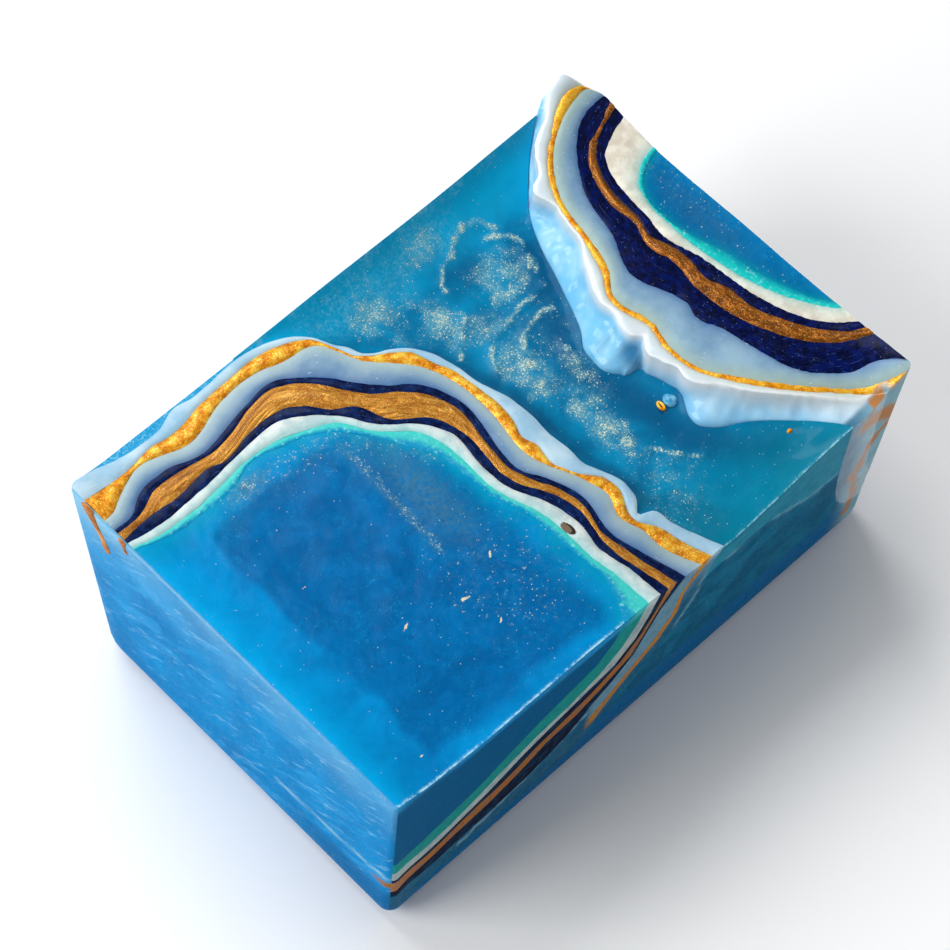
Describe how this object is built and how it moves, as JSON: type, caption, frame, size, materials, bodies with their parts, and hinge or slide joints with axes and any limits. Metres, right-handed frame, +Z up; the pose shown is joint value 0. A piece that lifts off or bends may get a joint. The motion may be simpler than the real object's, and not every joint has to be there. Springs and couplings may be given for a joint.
{
  "type": "geode soap loaf bar",
  "caption": "Short bar cut from a poured soap loaf: two banded geode bowls in a clear blue mica gel block with a flat, round-edged bottom.",
  "frame": {"origin": "centre of the bounding box, on the bottom plane", "axes": "+X along the long side, from the front geode to the rear geode; +Y along the short side; +Z up"},
  "size_m": [0.09, 0.059, 0.0411],
  "materials": {
    "base": "translucent sky-blue glycerin soap, satin",
    "gel": "clear teal-blue glycerin gel with gold mica, glossy",
    "core": "deep blue glycerin soap with faint flecks, satin",
    "teal": "opaque teal soap, satin",
    "white": "opaque white soap, satin",
    "navy": "dark navy soap, satin",
    "bronze": "bronze mica line, satin",
    "pale": "opaque pale-blue soap, satin",
    "gold": "gold mica line, satin"
  },
  "bodies": {
    "root": {"base_loaf": "base", "middle_gel_pour": "gel", "front_core": "core", "front_teal_rim": "teal", "front_white_layer": "white", "front_inner_navy_layer": "navy", "front_bronze_vein": "bronze", "front_outer_navy_layer": "navy", "front_pale_blue_layer": "pale", "front_gold_vein": "gold", "front_outer_shell": "pale", "rear_core": "core", "rear_teal_rim": "teal", "rear_white_layer": "white", "rear_inner_navy_layer": "navy", "rear_bronze_vein": "bronze", "rear_outer_navy_layer": "navy", "rear_pale_blue_layer": "pale", "rear_gold_vein": "gold", "rear_outer_shell": "pale", "pale_droplet": "pale", "gold_bead_near_droplet": "gold", "gold_bead_near_edge": "gold", "front_gold_drip": "gold", "front_bronze_drip": "bronze"}
  },
  "joints": []
}
